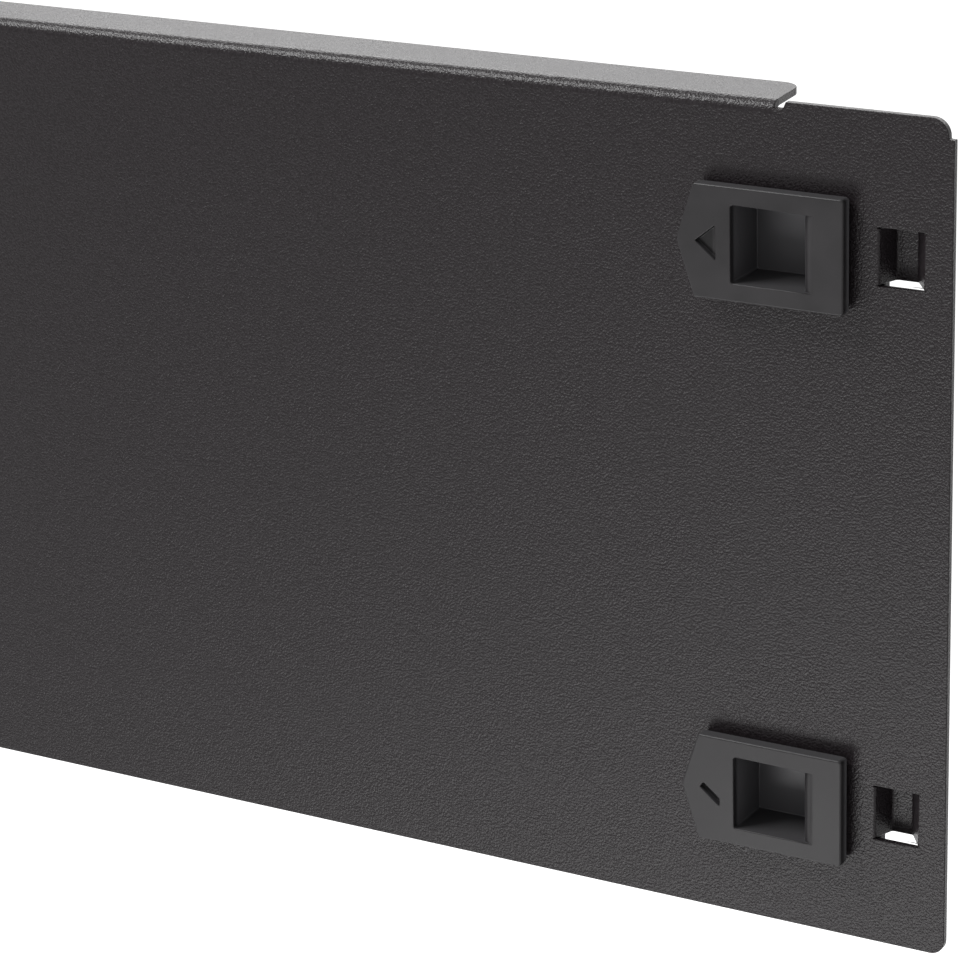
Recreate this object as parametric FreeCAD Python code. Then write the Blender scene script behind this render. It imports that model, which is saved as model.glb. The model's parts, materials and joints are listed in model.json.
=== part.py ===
import FreeCAD, Part
import math
import os

# Rack blanking panel, three rack units high, held in the rack by four sprung slide latches.
# Millimetres. X runs across the rack, Y runs into the rack, Z is up. The origin is the middle of
# the plane that seats on the rack rails, which is the rear face of the sheet.

# ---- driving dimensions ---------------------------------------------------------------------
# rack pattern that the panel is made to
panelWidth = 482.6
rackUnit = 44.45
panelUnits = 3
heightClearance = 0.85      # how much lower the panel is than its rack units
holeToPanelEnd = 8.75       # from the middle of a rail's holes to the panel's end
openingToPanelEnd = 15.9    # from the inner edge of a rail to the panel's end
railThickness = 2.0

# panel sheet
sheetThickness = 1.2
bendInsideRadius = 0.8

# flange folded back along the top
flangeDepth = 11.7          # from the front face to the flange's rear edge
flangeToPanelEnd = 28.95
flangeEndTaper = 0.8        # how much shorter each end is at the rear edge
flangeCornerRadius = 3.4

# relief notch between the flange and each ear
reliefMouthWidth = 2.0
reliefFloorWidth = 1.5
reliefDepth = 1.15
reliefRadius = 0.6

# ear corners
topCornerRadius = 2.7
topCornerInset = 0.9        # the upper corner is punched a little narrower than the ear
topCornerDrop = 3.05        # height of that narrower stretch
bottomCornerRadius = 2.4

# bridge bosses that sit in the square rack holes; reaches are from the middle of the hole
bossHeight = 8.6
bossDepth = 3.7
bossSlit = 0.2              # punch clearance along the two cut edges
bossCutInner = 3.6          # end of the cuts, towards the panel's middle
bossCutOuter = 4.6
bossRampInner = 3.05        # where each ramp would leave the sheet if its bend were sharp
bossRampOuter = 4.3
bossFloorWidth = 3.4
bossBendRadius = 0.5
bossCutRadius = 0.6         # round at the corners of the cut

# front plate of a latch
plateLength = 24.7
plateHeight = 17.7
plateThickness = 3.0
platePointLength = 2.9
platePointRadius = 3.0
plateCornerRadius = 0.6
plateEdgeRadius = 0.3
plateToPanelEnd = 16.1
plateStepHeight = 0.8       # rear layer of the plate, set in so that its edge throws a shadow line
plateStepInset = 0.6
plateSkin = 1.4             # wall left over the hollow moulded into its back
hollowTipRadius = 1.0

# finger pocket of a latch
pocketLength = 11.5
pocketHeight = 12.05
pocketDepth = 9.0
pocketToPlateEnd = 7.0
pocketLipRadius = 2.4       # the outer wall rolls out into the plate's face
pocketCornerRadius = 0.4
cupWall = 1.1
cupFloor = 1.2
cupCornerRadius = 0.9

# arrow sunk in the plate
arrowLength = 3.4
arrowHeight = 5.4
arrowDepth = 0.8
arrowToPoint = 3.2
arrowBarWidth = 1.0

# sliding and fitting clearances
travel = 4.0                # how far a latch slides towards the panel's middle
faceGap = 0.1               # plate to sheet, and bolt to sheet
sideGap = 0.2               # cup to slot, above and below
endGap = 0.15               # cup to slot at the outer end
releaseGap = 0.3            # cup to spring tab when fully released
fitGap = 0.1                # cup to the bolt that clips round it

# rear bolt of a latch
boltWall = 1.7
boltBackWall = 1.0
boltCornerRadius = 1.0
noseEngagement = 3.4        # how far the nose reaches behind the rail
noseHeight = 15.0
noseThickness = 4.4
noseGap = 0.6               # nose to the rear of the rail
noseRamp = 2.6
noseEdgeRadius = 0.4
windowLength = 7.0
windowDepth = 2.0
barbHeight = 0.9
barbFlat = 0.5              # length of the barb's top, ahead of its ramp
catchSetback = 1.2          # window edge to the rear of the cup

# spring, its seat on the sheet and its channel in the bolt
springDiameter = 3.4
springWire = 0.45
springTurns = 6
springStraights = 8         # straight lengths that stand for one turn
springWireSides = 6
springLength = 10.4
springGap = 0.2
springEndGap = 0.05         # spring to its seat at each end
tabWidth = 6.0
tabSlit = 1.0
tabCornerRadius = 1.2
seatBossWidth = 1.5
seatBossHeight = 0.6
pinLength = 4.0
channelWall = 1.0
channelLength = 5.0
channelEndWall = 1.5

# ---- worked out from them -------------------------------------------------------------------
halfWidth = panelWidth / 2
panelHeight = panelUnits * rackUnit - heightClearance
halfHeight = panelHeight / 2
latchRow = (panelUnits - 1) / 2 * rackUnit   # height of the upper latches over the middle
frontFace = -sheetThickness
bendOutsideRadius = bendInsideRadius + sheetThickness
bendStart = halfHeight - bendOutsideRadius
flangeHalf = halfWidth - flangeToPanelEnd
flangeRear = frontFace + flangeDepth
bossCentre = halfWidth - holeToPanelEnd

plateOuter = halfWidth - plateToPanelEnd
plateInner = plateOuter - plateLength
plateRear = frontFace - faceGap
plateFront = plateRear - plateThickness
pocketOuter = plateOuter - pocketToPlateEnd
pocketInner = pocketOuter - pocketLength
pocketFloor = plateFront + pocketDepth
cupOuter = pocketOuter + cupWall
cupInner = pocketInner - cupWall
cupHeight = pocketHeight + 2 * cupWall
cupRear = pocketFloor + cupFloor

slotOuter = cupOuter + endGap
slotHeight = cupHeight + 2 * sideGap
tabFace = cupInner - travel - releaseGap     # outboard face of the spring tab, and the slot's inner end

springAxis = cupRear + fitGap + boltBackWall + springGap + springDiameter / 2
springSeat = tabFace + springLength
tabTop = springAxis + springDiameter / 2

boltFront = faceGap
boltRear = cupRear + fitGap + boltBackWall
boltInner = cupInner - boltWall
boltOuter = cupOuter + fitGap + boltWall
boltHeight = cupHeight + 2 * fitGap + 2 * boltWall
noseTip = halfWidth - openingToPanelEnd + noseEngagement
noseFront = railThickness + noseGap
catchEdge = cupRear - catchSetback
windowMiddle = (pocketInner + pocketOuter) / 2

overshoot = 1.0             # how far a cutting body runs past what it cuts
selectMargin = 0.01         # play when an edge is chosen by where it lies
samePoint = 1e-6            # two points nearer than this are one


# ---- shared ways of making a shape ----------------------------------------------------------
def vector(x, y, z):
    return FreeCAD.Vector(x, y, z)


def roundedWire(corners, place):
    """Closed wire through (a, b, radius) corners. place turns a flat (a, b) into a point in space."""
    count = len(corners)
    starts, ends, middles = [], [], []
    for i in range(count):
        here = vector(corners[i][0], corners[i][1], 0)
        before = vector(corners[i - 1][0], corners[i - 1][1], 0) - here
        after = vector(corners[(i + 1) % count][0], corners[(i + 1) % count][1], 0) - here
        before.normalize()
        after.normalize()
        radius = corners[i][2]
        halfAngle = before.getAngle(after) / 2
        if radius > 0:
            setback = radius / math.tan(halfAngle)
            bisector = before + after
            bisector.normalize()
            reach = (radius ** 2 + setback ** 2) ** 0.5 - radius
            starts.append(here + before * setback)
            ends.append(here + after * setback)
            middles.append(here + bisector * reach)
        else:
            starts.append(here)
            ends.append(here)
            middles.append(None)
    edges = []
    for i in range(count):
        if middles[i] is not None:
            arcPoints = [place(p.x, p.y) for p in (starts[i], middles[i], ends[i])]
            edges.append(Part.Arc(*arcPoints).toShape())
        following = starts[(i + 1) % count]
        if (following - ends[i]).Length > samePoint:
            edges.append(Part.makeLine(place(ends[i].x, ends[i].y), place(following.x, following.y)))
    return Part.Wire(edges)


def slab(wire, direction):
    """Solid made by moving a flat wire along direction."""
    return Part.Face(wire).extrude(direction)


def block(x0, x1, y0, y1, z0, z1):
    return Part.makeBox(x1 - x0, y1 - y0, z1 - z0, vector(x0, y0, z0))


def frontOutline(corners, y, depth):
    """Prism of an outline drawn in X and Z, from the plane y backwards by depth."""
    return slab(roundedWire(corners, lambda a, b: vector(a, y, b)), vector(0, depth, 0))


def planOutline(corners, z, height):
    """Prism of an outline drawn in X and Y, from the level z upwards by height."""
    return slab(roundedWire(corners, lambda a, b: vector(a, b, z)), vector(0, 0, height))


def roundEdges(shape, radius, wanted):
    """Fillet each edge for which wanted(edge) is true."""
    return shape.makeFillet(radius, [edge for edge in shape.Edges if wanted(edge)])


def mirrored(shape):
    return shape.mirror(vector(0, 0, 0), vector(1, 0, 0))


def placed(shape, side, row):
    """A shape modelled at the right end, at mid height, moved to its end and its row."""
    moved = shape.copy()
    moved.translate(vector(0, 0, row * latchRow))
    return moved if side > 0 else mirrored(moved)


# ---- panel sheet ----------------------------------------------------------------------------
def earOutline():
    """Right half of the flat front, from the middle of the lower edge up to the flange's bend."""
    reliefFloor = halfHeight - reliefDepth
    narrowEdge = halfWidth - topCornerInset
    return [
        (halfWidth, -halfHeight, bottomCornerRadius),
        (halfWidth, halfHeight - topCornerDrop, 0),
        (narrowEdge, halfHeight - topCornerDrop, 0),
        (narrowEdge, halfHeight, topCornerRadius),
        (flangeHalf + reliefMouthWidth, halfHeight, 0),
        (flangeHalf + reliefFloorWidth, reliefFloor, reliefRadius),
        (flangeHalf, reliefFloor, 0),
        (flangeHalf, bendStart, 0),
    ]


def frontSheet():
    right = earOutline()
    left = [(-x, z, radius) for x, z, radius in reversed(right)]
    return frontOutline(right + left, frontFace, sheetThickness)


def foldWire(place, legFace, legRear):
    """Section through a fold: a quarter bend and its leg. place turns (along the sheet, y) into space."""
    return roundedWire(
        [
            (legFace - bendOutsideRadius, frontFace, 0),
            (legFace, frontFace, bendOutsideRadius),
            (legFace, legRear, 0),
            (legFace - sheetThickness, legRear, 0),
            (legFace - sheetThickness, 0, bendInsideRadius),
            (legFace - bendOutsideRadius, 0, 0),
        ],
        place)


def topFlange():
    """Quarter bend and flange, with tapered ends and rounded rear corners."""
    section = foldWire(lambda along, y: vector(-flangeHalf, y, along), halfHeight, flangeRear)
    strip = slab(section, vector(2 * flangeHalf, 0, 0))
    rearHalf = flangeHalf - flangeEndTaper
    bendRear = frontFace + bendOutsideRadius
    plan = planOutline(
        [
            (-flangeHalf, frontFace, 0),
            (flangeHalf, frontFace, 0),
            (flangeHalf, bendRear, 0),
            (rearHalf, flangeRear, flangeCornerRadius),
            (-rearHalf, flangeRear, flangeCornerRadius),
            (-flangeHalf, bendRear, 0),
        ],
        bendStart, bendOutsideRadius)
    return strip.common(plan)


def latchSlot():
    """What is cut away for one latch: the slot and the two slits beside its spring tab."""
    slot = block(tabFace, slotOuter, frontFace - overshoot, overshoot, -slotHeight / 2, slotHeight / 2)
    slitHalf = tabWidth / 2 + tabSlit
    root = block(tabFace - bendOutsideRadius, tabFace + overshoot, frontFace - overshoot, overshoot,
                 -slitHalf, slitHalf)
    return slot.fuse(root)


def springTab():
    """Tongue of the sheet folded back at the slot's inner end, with a square boss punched in it."""
    section = foldWire(lambda along, y: vector(along, y, -tabWidth / 2), tabFace, tabTop)
    tab = slab(section, vector(0, 0, tabWidth))
    tab = roundEdges(tab, tabCornerRadius, lambda edge: (
        edge.BoundBox.YMin > tabTop - selectMargin and edge.BoundBox.XLength > sheetThickness / 2))
    half = seatBossWidth / 2
    boss = block(tabFace, tabFace + seatBossHeight, springAxis - half, springAxis + half, -half, half)
    hollow = boss.copy()
    hollow.translate(vector(-sheetThickness, 0, 0))
    return tab.fuse(boss).cut(hollow)


def bossWindow():
    reach = bossHeight / 2 + bossSlit
    left = bossCentre - bossCutInner
    right = bossCentre + bossCutOuter
    corners = [
        (left, -reach, bossCutRadius),
        (right, -reach, bossCutRadius),
        (right, reach, bossCutRadius),
        (left, reach, bossCutRadius),
    ]
    return frontOutline(corners, frontFace - overshoot, sheetThickness + 2 * overshoot)


def bridgeBoss():
    """Strip of the sheet pressed back between two cuts, joined to the sheet at both ends."""
    floor = frontFace + bossDepth

    def trace(shift):
        return [
            (bossCentre - bossCutInner, frontFace + shift, 0),
            (bossCentre - bossRampInner, frontFace + shift, bossBendRadius),
            (bossCentre - bossFloorWidth / 2, floor + shift, bossBendRadius),
            (bossCentre + bossFloorWidth / 2, floor + shift, bossBendRadius),
            (bossCentre + bossRampOuter, frontFace + shift, bossBendRadius),
            (bossCentre + bossCutOuter, frontFace + shift, 0),
        ]
    corners = trace(0) + list(reversed(trace(sheetThickness)))
    return planOutline(corners, -bossHeight / 2, bossHeight)


def panelSheet():
    sheet = frontSheet().fuse(topFlange())
    for side in (-1, 1):
        for row in (-1, 1):
            sheet = sheet.cut(placed(latchSlot(), side, row))
            sheet = sheet.cut(placed(bossWindow(), side, row))
            sheet = sheet.fuse(placed(springTab(), side, row))
            sheet = sheet.fuse(placed(bridgeBoss(), side, row))
    return sheet.removeSplitter()


# ---- latch button: front plate and finger pocket, one moulding ------------------------------
def plateOutline(inset, radius, tipRadius):
    """Corners of the plate, pointed at its inner end, drawn in by inset on all sides."""
    half = plateHeight / 2
    slant = math.hypot(half, platePointLength)
    tipInset = inset * slant / half
    cornerInset = inset * (slant - platePointLength) / half
    return [
        (plateOuter - inset, inset - half, radius),
        (plateOuter - inset, half - inset, radius),
        (plateInner + cornerInset, half - inset, radius),
        (plateInner - platePointLength + tipInset, 0, tipRadius),
        (plateInner + cornerInset, inset - half, radius),
    ]


def plateBody():
    """Plate with a rounded front edge and a rear layer set in all round."""
    outline = plateOutline(0, plateCornerRadius, platePointRadius)
    plate = frontOutline(outline, plateFront, plateThickness - plateStepHeight)
    plate = roundEdges(plate, plateEdgeRadius, lambda edge: edge.BoundBox.YMax < plateFront + selectMargin)
    step = frontOutline(plateOutline(plateStepInset, 0, 0), plateFront + plateSkin, plateThickness - plateSkin)
    return plate.fuse(step)


def arrowRecess(whole):
    """Triangle pointing the way the latch releases. Not whole, it is only the bar of its lower side."""
    tip = plateInner - platePointLength + arrowToPoint
    base = tip + arrowLength
    half = arrowHeight / 2
    triangle = [(tip, 0, 0), (base, half, 0), (base, -half, 0)]
    slope = half / arrowLength
    barRise = arrowBarWidth * math.hypot(1, slope)
    shift = barRise * slope / (1 + slope ** 2)
    bar = [
        (tip, 0, 0),
        (tip + shift, barRise - shift * slope, 0),
        (base, barRise - half, 0),
        (base, -half, 0),
    ]
    return frontOutline(triangle if whole else bar, plateFront - overshoot, overshoot + arrowDepth)


def fingerPocket():
    half = pocketHeight / 2
    corners = [
        (pocketInner, -half, pocketCornerRadius),
        (pocketOuter, -half, 0),
        (pocketOuter, half, 0),
        (pocketInner, half, pocketCornerRadius),
    ]
    return frontOutline(corners, plateFront - overshoot, pocketDepth + overshoot)


def pocketLip():
    """What is cut away so that the pocket's outer wall rolls out into the plate's face."""
    half = pocketHeight / 2
    wallEnd = plateFront + pocketLipRadius
    faceEnd = pocketOuter + pocketLipRadius
    back = pocketLipRadius * (1 - math.cos(math.pi / 4))
    wire = Part.Wire([
        Part.makeLine(vector(faceEnd, plateFront, -half), vector(pocketOuter, plateFront, -half)),
        Part.makeLine(vector(pocketOuter, plateFront, -half), vector(pocketOuter, wallEnd, -half)),
        Part.Arc(vector(pocketOuter, wallEnd, -half),
                 vector(pocketOuter + back, plateFront + back, -half),
                 vector(faceEnd, plateFront, -half)).toShape(),
    ])
    return slab(wire, vector(0, 0, pocketHeight))


def cupBody():
    half = cupHeight / 2
    corners = [
        (cupInner, -half, cupCornerRadius),
        (cupOuter, -half, cupCornerRadius),
        (cupOuter, half, cupCornerRadius),
        (cupInner, half, cupCornerRadius),
    ]
    return frontOutline(corners, plateFront + plateThickness / 2, cupRear - plateFront - plateThickness / 2)


def pointHollow():
    """Hollow moulded into the plate's back, from the cup into its point, an even wall inside its edge."""
    front = plateFront + plateSkin
    depth = plateRear + overshoot - front
    inside = frontOutline(plateOutline(plateStepInset + cupWall, 0, hollowTipRadius), front, depth)
    half = plateHeight / 2
    wall = cupInner - cupWall
    return inside.cut(block(wall, plateOuter, front - overshoot, front + depth + overshoot, -half, half))


def snapBarb(level):
    """Wedge on the cup's upper or lower wall that clicks into the bolt's window."""
    wall = level * cupHeight / 2
    root = wall - level * cupWall / 2
    peak = wall + level * barbHeight
    front = catchEdge - windowDepth + fitGap
    rear = catchEdge - fitGap
    half = windowLength / 2 - fitGap
    start = windowMiddle - half
    wire = Part.makePolygon([
        vector(start, front, root),
        vector(start, front, peak),
        vector(start, front + barbFlat, peak),
        vector(start, rear, wall),
        vector(start, rear, root),
        vector(start, front, root),
    ])
    return slab(wire, vector(2 * half, 0, 0))


def latchButton(wholeArrow):
    button = plateBody().fuse(cupBody())
    button = button.cut(pointHollow())
    for level in (-1, 1):
        button = button.fuse(snapBarb(level))
    button = button.cut(fingerPocket()).cut(pocketLip())
    return button.cut(arrowRecess(wholeArrow)).removeSplitter()


# ---- latch bolt: rear moulding that clips round the cup and hooks behind the rail -----------
def boltCollar():
    """Frame round the cup, closed behind it, open at the spring tab."""
    half = boltHeight / 2
    outer = frontOutline(
        [
            (boltInner, -half, boltCornerRadius),
            (boltOuter, -half, boltCornerRadius),
            (boltOuter, half, boltCornerRadius),
            (boltInner, half, boltCornerRadius),
        ],
        boltFront, boltRear - boltFront)
    room = cupHeight / 2 + fitGap
    cavity = frontOutline(
        [
            (cupInner - fitGap, -room, cupCornerRadius),
            (cupOuter + fitGap, -room, cupCornerRadius),
            (cupOuter + fitGap, room, cupCornerRadius),
            (cupInner - fitGap, room, cupCornerRadius),
        ],
        boltFront - overshoot, boltRear - boltBackWall - boltFront + overshoot)
    tabPath = tabWidth / 2 + releaseGap
    mouth = block(boltInner - overshoot, cupInner + overshoot, boltFront - overshoot, boltRear + overshoot,
                  -tabPath, tabPath)
    window = block(windowMiddle - windowLength / 2, windowMiddle + windowLength / 2,
                   catchEdge - windowDepth, catchEdge, -half - overshoot, half + overshoot)
    return outer.cut(cavity).cut(mouth).cut(window)


def boltNose():
    """Nose behind the rail's inner edge, ramped at the rear so that it springs past the rail."""
    half = noseHeight / 2
    root = boltOuter - boltWall / 2
    rear = noseFront + noseThickness
    corners = [
        (root, noseFront, 0),
        (noseTip, noseFront, noseEdgeRadius),
        (noseTip, rear - noseRamp, noseEdgeRadius),
        (noseTip - noseRamp, rear, noseEdgeRadius),
        (root, rear, 0),
    ]
    return planOutline(corners, -half, noseHeight)


def springChannel():
    """Trough and centring pin that hold the spring's outer end."""
    inside = springDiameter / 2 + springGap
    outside = inside + channelWall
    base = boltRear - boltBackWall / 2
    body = block(springSeat - channelLength, springSeat + channelEndWall, base, tabTop, -outside, outside)
    body = roundEdges(body, channelWall / 2, lambda edge: (
        edge.BoundBox.YMin > tabTop - selectMargin and edge.BoundBox.XLength > channelWall))
    trough = block(springSeat - channelLength - overshoot, springSeat, boltRear, tabTop + overshoot,
                   -inside, inside)
    inward = vector(-1, 0, 0)
    pinRadius = springDiameter / 2 - springWire - springGap
    pin = Part.makeCylinder(pinRadius, pinLength, vector(springSeat, springAxis, 0), inward)
    return body.cut(trough).fuse(pin)


def latchBolt():
    return boltCollar().fuse(boltNose()).fuse(springChannel()).removeSplitter()


# ---- latch spring: wire wound along X between the tab and the bolt --------------------------
def latchSpring():
    """Coil made of short straight lengths of a many-sided wire."""
    wireRadius = springWire / 2
    coilRadius = springDiameter / 2 - wireRadius
    inset = wireRadius + springEndGap
    steps = springTurns * springStraights
    pitch = (springLength - 2 * inset) / steps

    def coilPoint(step):
        angle = 2 * math.pi * step / springStraights
        height = springAxis + coilRadius * math.cos(angle)
        return vector(tabFace + inset + step * pitch, height, coilRadius * math.sin(angle))
    path = [coilPoint(step) for step in range(steps + 1)]
    heading = path[1] - path[0]
    heading.normalize()
    outward = vector(0, 1, 0) - heading * heading.y
    outward.normalize()
    across = heading.cross(outward)
    rim = []
    for side in range(springWireSides + 1):
        angle = 2 * math.pi * side / springWireSides
        rim.append(path[0] + outward * wireRadius * math.cos(angle) + across * wireRadius * math.sin(angle))
    return Part.makePolygon(path).makePipeShell([Part.makePolygon(rim)], True, False, 1)


# ---- write one file for each piece ----------------------------------------------------------
def save(shape, name):
    """Every piece is written as a solid, alone in its file."""
    solid = shape.Solids[0]
    solid.exportStep("parts/" + name + ".step")
    print(name, "solids", len(shape.Solids), "valid", solid.isValid(), "volume", round(solid.Volume, 1))


os.makedirs("parts", exist_ok=True)
save(panelSheet(), "panel_sheet")
bolt = latchBolt()
spring = latchSpring()
for side, sideName in ((1, "right"), (-1, "left")):
    for row, rowName in ((1, "upper"), (-1, "lower")):
        ending = rowName + "_" + sideName
        wholeArrow = not (side > 0 and row < 0)
        save(placed(latchButton(wholeArrow), side, row), "latch_button_" + ending)
        save(placed(bolt, side, row), "latch_bolt_" + ending)
        save(placed(spring, side, row), "latch_spring_" + ending)
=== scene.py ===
import json
import math

import bmesh
import bpy
from mathutils import Matrix, Vector


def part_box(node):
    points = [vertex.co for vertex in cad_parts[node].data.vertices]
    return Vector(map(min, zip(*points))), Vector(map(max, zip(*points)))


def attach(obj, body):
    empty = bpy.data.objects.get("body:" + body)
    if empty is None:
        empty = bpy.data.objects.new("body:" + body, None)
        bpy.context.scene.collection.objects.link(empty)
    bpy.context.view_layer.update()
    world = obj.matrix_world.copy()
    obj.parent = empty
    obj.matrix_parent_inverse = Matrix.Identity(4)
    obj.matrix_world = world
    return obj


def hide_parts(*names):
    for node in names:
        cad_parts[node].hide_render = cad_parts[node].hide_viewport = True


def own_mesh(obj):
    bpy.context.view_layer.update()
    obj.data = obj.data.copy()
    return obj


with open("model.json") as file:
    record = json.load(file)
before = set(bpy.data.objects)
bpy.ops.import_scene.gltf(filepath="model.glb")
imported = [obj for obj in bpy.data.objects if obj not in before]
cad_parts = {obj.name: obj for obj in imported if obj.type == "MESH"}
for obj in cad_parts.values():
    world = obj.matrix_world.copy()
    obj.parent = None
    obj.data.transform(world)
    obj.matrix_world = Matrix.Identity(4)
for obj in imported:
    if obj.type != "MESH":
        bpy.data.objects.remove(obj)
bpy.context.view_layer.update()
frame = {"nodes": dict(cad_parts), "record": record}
scene = bpy.context.scene
nodes = frame["nodes"]
sides = ("right", "left")
rows = ("upper", "lower")
axes = range(3)
mm = 0.001
full = (0.0, 1.0)
white = (1, 1, 1, 1)
print("frame loaded,", len(nodes), "nodes")


# small helpers for node trees
def newMaterial(name, values):
    material = bpy.data.materials.new(name)
    material.use_nodes = True
    shader = material.node_tree.nodes["Principled BSDF"]
    for socket, value in values.items():
        shader.inputs[socket].default_value = value
    return material, material.node_tree, shader


def addNode(tree, kind, **settings):
    node = tree.nodes.new(kind)
    for key, value in settings.items():
        setattr(node, key, value)
    return node


def coordinates(tree, kind="Object"):
    return addNode(tree, "ShaderNodeTexCoord").outputs[kind]


def alongAxis(tree, vector, axis):
    node = addNode(tree, "ShaderNodeSeparateXYZ")
    tree.links.new(vector, node.inputs["Vector"])
    return node.outputs[axis]


def noise(tree, vector, pattern):
    # pattern: cells per metre, detail, roughness
    node = addNode(tree, "ShaderNodeTexNoise")
    for socket, number in zip(("Scale", "Detail", "Roughness"), pattern):
        node.inputs[socket].default_value = number
    tree.links.new(vector, node.inputs["Vector"])
    return node.outputs["Fac"]


def spread(tree, value, target, source=full):
    # stretches the values inside source to fill target
    node = addNode(tree, "ShaderNodeMapRange")
    for socket, number in zip(("From Min", "From Max", "To Min", "To Max"), (*source, *target)):
        node.inputs[socket].default_value = number
    tree.links.new(value, node.inputs["Value"])
    return node.outputs["Result"]


def putIn(tree, value, socket):
    # value is a number, a colour or what another node gives
    if isinstance(value, bpy.types.NodeSocket):
        tree.links.new(value, socket)
    else:
        socket.default_value = value


def calculate(tree, operation, *values):
    node = addNode(tree, "ShaderNodeMath", operation=operation)
    for value, socket in zip(values, node.inputs):
        putIn(tree, value, socket)
    return node.outputs[0]


def mixColours(tree, factor, first, second):
    node = addNode(tree, "ShaderNodeMix", data_type="RGBA")
    for socket, value in (("Factor", factor), ("A", first), ("B", second)):
        putIn(tree, value, node.inputs[socket])
    return node.outputs["Result"]


def bump(tree, height, depth, strength=1.0, under=None):
    node = addNode(tree, "ShaderNodeBump")
    node.inputs["Strength"].default_value = strength
    node.inputs["Distance"].default_value = depth
    tree.links.new(height, node.inputs["Height"])
    if under:
        tree.links.new(under, node.inputs["Normal"])
    return node.outputs["Normal"]


def seenRays(tree):
    # 1 for the camera's rays, and for those that a shiny or clear surface sends on
    path = addNode(tree, "ShaderNodeLightPath")
    seen = path.outputs["Is Camera Ray"]
    for kind in ("Is Glossy Ray", "Is Transmission Ray"):
        seen = calculate(tree, "MAXIMUM", seen, path.outputs[kind])
    return seen


# sheet finish: powder coat with a fine leathery grain over steel
coatLook = {
    "dark": (0.0088, 0.0067, 0.0076, 1),
    "light": (0.0170, 0.0142, 0.0158, 1),
    "roughness": (0.29, 0.33),
    "gloss": 0.18,
    "ior": 1.5,
    # patterns: cells per metre, detail, roughness
    "grain": (3100.0, 1.0, 0.45),
    "grainTones": (0.35, 0.65),     # grain heights that go from dark to light
    "grainDepth": 0.095 * mm,
    "fine": (6500.0, 2.0, 0.6),
    "fineDepth": 0.008 * mm,
    "cloud": (9.0, 2.0, 0.5),
}


def makeCoat(look):
    material, tree, shader = newMaterial("powderCoat", {
        "IOR": look["ior"], "Specular IOR Level": look["gloss"]})
    at = coordinates(tree)
    grain = noise(tree, at, look["grain"])
    fine = noise(tree, at, look["fine"])
    cloud = noise(tree, at, look["cloud"])
    # hollows between the grains hold less light than their crowns
    tone = spread(tree, grain, full, look["grainTones"])
    tree.links.new(mixColours(tree, tone, look["dark"], look["light"]), shader.inputs["Base Color"])
    tree.links.new(spread(tree, cloud, look["roughness"]), shader.inputs["Roughness"])
    coarse = bump(tree, grain, look["grainDepth"])
    tree.links.new(bump(tree, fine, look["fineDepth"], under=coarse), shader.inputs["Normal"])
    return material


# latch front: satin black-grey moulding, slightly smoother than the coat
buttonLook = {
    "dark": (0.0167, 0.0157, 0.0167, 1),
    "light": (0.0228, 0.0214, 0.0228, 1),
    "roughness": (0.32, 0.42),
    "gloss": 0.21,
    "ior": 1.48,
    "flow": (140.0, 3.0, 0.5),
    "flowTones": (0.35, 0.65),
    "flowRoughness": (0.3, 0.7),
    "spark": (5200.0, 3.0, 0.6),
    "sparkStrength": 0.18,
    "sparkDepth": 0.02 * mm,
    # painted shade and painted light set by depth: depths over which the colour changes, and how far from the
    # panel's middle it goes
    "zones": [
        # painted shade at the bottom of the sunk arrow
        {"depth": (-4.05 * mm, -3.65 * mm), "reach": 203.4 * mm, "colour": (0.0055, 0.0050, 0.0056, 1)},
        # painted light in the cup behind the plate, about five times lighter than the plate's front
        {"depth": (-3.45 * mm, -2.70 * mm), "reach": 250.0 * mm, "colour": (0.086, 0.084, 0.089, 1)},
    ],
    # painted top light: faces that look up are painted lighter, from the first share of their direction that
    # looks up to the second
    "upward": (0.042, 0.041, 0.043, 1),
    "upwardShare": (0.55, 0.95),
}


# latch rear: the same moulding, duller and of one tone
boltLook = dict(buttonLook, dark=(0.020, 0.020, 0.021, 1), light=(0.026, 0.026, 0.028, 1),
                roughness=(0.5, 0.66), zones=[], upward=None)


def makeMoulding(name, look):
    material, tree, shader = newMaterial(name, {"IOR": look["ior"], "Specular IOR Level": look["gloss"]})
    at = coordinates(tree)
    spark = noise(tree, at, look["spark"])
    flow = noise(tree, at, look["flow"])
    colour = mixColours(tree, spread(tree, flow, full, look["flowTones"]), look["dark"], look["light"])
    fromMiddle = calculate(tree, "ABSOLUTE", alongAxis(tree, at, "X"))
    # painted shade in the sunk arrow and painted light in the cup, set by depth and by distance from the panel's
    # middle
    for paintedZone in look["zones"]:
        deep = spread(tree, alongAxis(tree, at, "Y"), full, paintedZone["depth"])
        near = calculate(tree, "LESS_THAN", fromMiddle, paintedZone["reach"])
        colour = mixColours(tree, calculate(tree, "MULTIPLY", near, deep), colour, paintedZone["colour"])
    # painted top light on faces that look up
    if look["upward"]:
        upward = alongAxis(tree, coordinates(tree, "Normal"), "Z")
        colour = mixColours(tree, spread(tree, upward, full, look["upwardShare"]), colour, look["upward"])
    tree.links.new(colour, shader.inputs["Base Color"])
    tree.links.new(spread(tree, flow, look["roughness"], look["flowRoughness"]), shader.inputs["Roughness"])
    tree.links.new(bump(tree, spark, look["sparkDepth"], look["sparkStrength"]), shader.inputs["Normal"])
    return material


# spring wire: drawn steel with faint lines along the wire
springLook = {
    "turns": 9,             # how many times the wire goes round
    "closedTurns": 1.25,    # turns wound close at each end
    "closedRise": 1.02,     # their pitch, in wire thicknesses
    "wire": 0.45 * mm,
    "outside": 3.4 * mm,
    "stepsPerTurn": 36,
    "wireSides": 12,
    "colour": (0.56, 0.55, 0.53, 1),
    "roughness": (0.22, 0.42),
    "streak": (2600.0, 4.0, 0.6),
    "streakRoughness": (0.3, 0.7),
    "streakStrength": 0.12,
    "streakDepth": 0.02 * mm,
}


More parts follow.
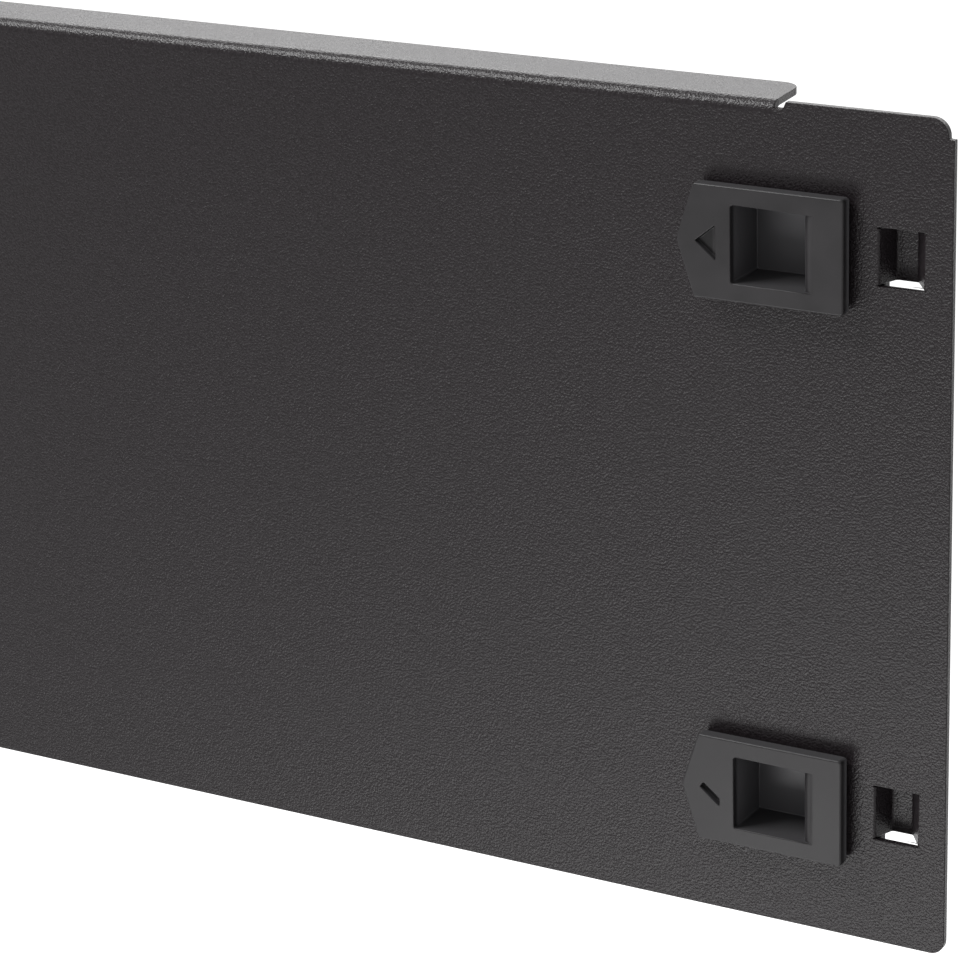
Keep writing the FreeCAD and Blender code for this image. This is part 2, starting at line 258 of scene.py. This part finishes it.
def makeSteel(look):
    material, tree, shader = newMaterial("springSteel", {"Base Color": look["colour"], "Metallic": 1.0})
    streak = noise(tree, coordinates(tree), look["streak"])
    roughness = spread(tree, streak, look["roughness"], look["streakRoughness"])
    tree.links.new(roughness, shader.inputs["Roughness"])
    tree.links.new(bump(tree, streak, look["streakDepth"], look["streakStrength"]), shader.inputs["Normal"])
    return material


coat = makeCoat(coatLook)
buttonPlastic = makeMoulding("latchFrontPlastic", buttonLook)
boltPlastic = makeMoulding("latchRearPlastic", boltLook)
steel = makeSteel(springLook)
print("finishes made")


# edges of a real sheet or moulding are never knife sharp
softEdges = {
    "panel_sheet": 0.15 * mm,
    "latch_button": 0.16 * mm,
    "latch_bolt": 0.12 * mm,
    "steps": 2,
    "roundness": 0.5,                   # profile of a quarter circle
    "sharpAngle": math.radians(42),
    "smoothAngle": math.radians(50),    # faces that turn less than this are shaded as one
    "flatness": 0.0005 * mm,            # corners this near one plane make one flat face
    "broad": 1.3 * mm,                  # a flat face at least this wide stays truly flat beside a curve
    "samePoint": 0.0001 * mm,
    # the flange's root beside its notch is too narrow to round
    "narrowAcross": (212.0 * mm, 213.0 * mm),
    "narrowUp": (64.0 * mm, 65.2 * mm),
}


def flatGroups(work, rounded):
    # touching triangles of one plane, gathered from the largest down
    groups = []
    taken = set(rounded)
    for seed in sorted(work.faces, key=lambda face: -face.calc_area()):
        if seed in taken:
            continue
        normal = seed.normal.copy()
        level = normal.dot(seed.verts[0].co)
        taken.add(seed)
        group = [seed]
        for face in group:
            for other in [beside for edge in face.edges for beside in edge.link_faces]:
                if other in taken:
                    continue
                if all(abs(normal.dot(corner.co) - level) < softEdges["flatness"] for corner in other.verts):
                    taken.add(other)
                    group.append(other)
        groups.append((normal, group))
    return groups


def refill(work, normal, group):
    # a flat face gets new triangles inside its rim, so that none of them folds over
    inside = set(group)
    edges = dict.fromkeys(edge for face in group for edge in face.edges)
    rim = [edge for edge in edges if sum(face in inside for face in edge.link_faces) == 1]
    around = sum(edge.calc_length() for edge in rim)
    if len(group) > 2:
        bmesh.ops.delete(work, geom=group, context="FACES_KEEP_BOUNDARY")
        made = bmesh.ops.triangle_fill(work, edges=rim, use_beauty=True, use_dissolve=False, normal=normal)
        group = [item for item in made["geom"] if isinstance(item, bmesh.types.BMFace)]
    for face in group:
        if face.normal.dot(normal) < 0:
            face.normal_flip()
    # a strip is about as wide as twice its area over its rim
    wide = 2 * sum(face.calc_area() for face in group) > softEdges["broad"] * around
    return group if wide else []


def isNarrow(edge):
    left, right = softEdges["narrowAcross"]
    low, high = softEdges["narrowUp"]
    return all(left < abs(corner.co.x) < right and low < corner.co.z < high for corner in edge.verts)


def isSharp(edge):
    return len(edge.link_faces) == 2 and edge.calc_face_angle() > softEdges["sharpAngle"] and not isNarrow(edge)


def evenDirections(work, rounded, broad):
    # broad flat faces keep their own direction, and only what joins them turns
    nearly = math.cos(softEdges["smoothAngle"])
    directions = []
    for face in work.faces:
        for corner in face.verts:
            if face in broad:
                directions.append(face.normal.copy())
                continue
            near = [other for other in corner.link_faces if other.normal.dot(face.normal) > nearly]
            leading = ([other for other in near if other in broad]
                       or [other for other in near if other not in rounded] or near)
            total = Vector()
            for other in leading:
                total += other.normal * other.calc_area()
            directions.append(total.normalized() if total.length > 0 else corner.normal.copy())
    return directions


def softened(node, name, width, material, body):
    mesh = nodes[node].data.copy()
    mesh.name = name
    work = bmesh.new()
    work.from_mesh(mesh)
    bmesh.ops.remove_doubles(work, verts=work.verts, dist=softEdges["samePoint"])
    lowest, highest = ([limit(corner.co[axis] for corner in work.verts) for axis in axes] for limit in (min, max))
    made = bmesh.ops.bevel(work, geom=[edge for edge in work.edges if isSharp(edge)], offset=width,
                           offset_type="OFFSET", segments=softEdges["steps"], profile=softEdges["roundness"],
                           affect="EDGES", clamp_overlap=False, miter_outer="ARC")
    # rounding never carries a corner out of the solid's box
    for corner in work.verts:
        corner.co = [min(max(corner.co[axis], lowest[axis]), highest[axis]) for axis in axes]
    rounded = set(made["faces"])
    broad = set()
    for normal, group in flatGroups(work, rounded):
        broad.update(refill(work, normal, group))
    for face in work.faces:
        face.smooth = True
        face.material_index = 0
    work.normal_update()
    directions = evenDirections(work, rounded, broad)
    work.to_mesh(mesh)
    work.free()
    for edge in mesh.edges:
        edge.use_edge_sharp = False
    mesh.normals_split_custom_set(directions)
    mesh.materials.clear()
    mesh.materials.append(material)
    piece = bpy.data.objects.new(name, mesh)
    scene.collection.objects.link(piece)
    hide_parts(node)
    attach(piece, body)


bodies = frame["record"]["behaviour"]["bodies"]
bodyOf = {name: group for group, names in bodies.items() for name in names}
dressing = {
    "panel_sheet": (coat, "powder_coated_steel"),
    "latch_button": (buttonPlastic, "latch_front_plastic"),
    "latch_bolt": (boltPlastic, "latch_rear_plastic"),
}
for name in nodes:
    for start, (material, slotName) in dressing.items():
        if name.startswith(start):
            dressed = name.replace("latch_", "") + "_dressed"
            softened(name, dressed, softEdges[start], material, bodyOf[name])
# the solids that the dressed pieces stand for carry the same finishes
for name, node in nodes.items():
    material = next((look[0] for start, look in dressing.items() if name.startswith(start)), steel)
    node.data.materials.clear()
    node.data.materials.append(material)
print("edges softened and finishes put on")


def coilPath(start, outward, length, middleY, middleZ):
    # close wound at both ends, even in between
    wire = springLook["wire"]
    coil = springLook["outside"] / 2 - wire / 2
    turns = springLook["turns"]
    closed = springLook["closedTurns"]
    endRise = wire * springLook["closedRise"]
    openRise = (length - 2 * closed * endRise) / (turns - 2 * closed)
    path = []
    for step in range(turns * springLook["stepsPerTurn"] + 1):
        turn = step / springLook["stepsPerTurn"]
        if turn < closed:
            along = turn * endRise
        elif turn > turns - closed:
            along = length - (turns - turn) * endRise
        else:
            along = closed * endRise + (turn - closed) * openRise
        angle = turn * 2 * math.pi
        path.append(Vector((start + outward * (wire / 2 + along),
                            middleY + coil * math.cos(angle), middleZ + coil * math.sin(angle))))
    return path


def sweptWire(name, path, middleY, middleZ):
    wire = springLook["wire"] / 2
    count = springLook["wireSides"]
    work = bmesh.new()
    rings = []
    for i, here in enumerate(path):
        ahead = path[min(i + 1, len(path) - 1)] - path[max(i - 1, 0)]
        ahead.normalize()
        radial = Vector((0, here.y - middleY, here.z - middleZ)).normalized()
        across = ahead.cross(radial).normalized()
        radial = across.cross(ahead).normalized()
        ring = []
        for k in range(count):
            angle = 2 * math.pi * k / count
            ring.append(work.verts.new(here + radial * wire * math.cos(angle) + across * wire * math.sin(angle)))
        rings.append(ring)
    for first, second in zip(rings, rings[1:]):
        for k in range(count):
            after = (k + 1) % count
            work.faces.new((first[k], first[after], second[after], second[k]))
    work.faces.new(list(reversed(rings[0])))
    work.faces.new(rings[-1])
    bmesh.ops.recalc_face_normals(work, faces=work.faces)
    mesh = bpy.data.meshes.new(name)
    work.to_mesh(mesh)
    work.free()
    mesh.shade_smooth()
    mesh.materials.append(steel)
    return mesh


def makeSpring(row, side):
    node = f"latch_spring_{row}_{side}"
    name = f"coil_{row}_{side}"
    low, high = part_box(node)
    middleY = (low.y + high.y) / 2
    middleZ = (low.z + high.z) / 2
    # the coil starts at its inner end, which rests on the sheet's tab
    start, outward = (low.x, 1) if side == "right" else (high.x, -1)
    space = high.x - low.x
    path = coilPath(start, outward, space - springLook["wire"], middleY, middleZ)
    piece = bpy.data.objects.new(name, sweptWire(name, path, middleY, middleZ))
    scene.collection.objects.link(piece)
    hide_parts(node)
    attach(piece, "root")
    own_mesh(piece)


for row in rows:
    for side in sides:
        makeSpring(row, side)
print("springs wound")


# floor, world and lamps
studio = {
    "floorHeight": -0.80,
    "floorReach": 6.0,
    "floorColour": (0.80, 0.80, 0.80, 1),
    "floorRoughness": 0.9,
    "floorGloss": 0.1,
    "floorGlow": 0.8,
    "ambient": 0.45,
    "background": 1.0,
    "lamps": [
        # name, place, aim, size, power in watts
        ("lowFront", (-0.10, -0.80, -0.70), (0.20, 0.0, 0.0), (0.5, 0.5), 6.0),
        ("overhead", (-0.50, -0.45, 1.0), (0.15, 0.0, 0.0), (0.6, 0.3), 18.0),
        ("topBehind", (0.03, 0.85, 0.75), (0.10, 0.0, 0.0), (1.6, 0.7), 16.0),
    ],
}


def makeFloor():
    work = bmesh.new()
    bmesh.ops.create_grid(work, x_segments=4, y_segments=4, size=studio["floorReach"])
    mesh = bpy.data.meshes.new("studioFloor")
    work.to_mesh(mesh)
    work.free()
    floor = bpy.data.objects.new("studioFloor", mesh)
    floor.location = (0, 0, studio["floorHeight"])
    scene.collection.objects.link(floor)
    material, tree, shader = newMaterial("studioFloor", {
        "Base Color": studio["floorColour"], "Roughness": studio["floorRoughness"],
        "Specular IOR Level": studio["floorGloss"], "Emission Color": white})
    # the floor shows white where nothing shades it, and still takes the object's shadow
    glow = spread(tree, seenRays(tree), (0.0, studio["floorGlow"]))
    tree.links.new(glow, shader.inputs["Emission Strength"])
    mesh.materials.append(material)


def makeWorld():
    world = bpy.data.worlds.new("studioWorld")
    scene.world = world
    world.use_nodes = True
    tree = world.node_tree
    background = tree.nodes["Background"]
    strength = spread(tree, seenRays(tree), (studio["ambient"], studio["background"]))
    tree.links.new(strength, background.inputs["Strength"])
    background.inputs["Color"].default_value = white


def makeLamps():
    for name, place, aim, size, power in studio["lamps"]:
        data = bpy.data.lights.new(name, "AREA")
        data.shape = "RECTANGLE"
        data.size, data.size_y = size
        data.energy = power
        lamp = bpy.data.objects.new(name, data)
        lamp.location = place
        lamp.rotation_euler = (Vector(aim) - Vector(place)).to_track_quat("-Z", "Y").to_euler()
        lamp.visible_camera = False
        scene.collection.objects.link(lamp)


# a long lens to the right of the panel and above it
view = {
    "place": (0.45494, -0.49363, 0.19850),
    "right": (0.86262, 0.50510, -0.02742),
    "up": (-0.14297, 0.29544, 0.94460),
    "forward": (-0.48522, 0.81092, -0.32707),
    "lens": 143.259,
    "sensor": 36.0,
    "clip": (0.01, 50),
}


def makeCamera():
    data = bpy.data.cameras.new("camera")
    data.lens = view["lens"]
    data.sensor_width = view["sensor"]
    data.sensor_fit = "HORIZONTAL"
    data.clip_start, data.clip_end = view["clip"]
    camera = bpy.data.objects.new("camera", data)
    right, up, forward = (Vector(view[key]) for key in ("right", "up", "forward"))
    turn = Matrix((right, up, -forward)).transposed()
    camera.matrix_world = Matrix.Translation(view["place"]) @ turn.to_4x4()
    scene.collection.objects.link(camera)
    scene.camera = camera


makeFloor()
makeWorld()
makeLamps()
makeCamera()
scene.view_settings.view_transform = "Standard"
print("studio ready")
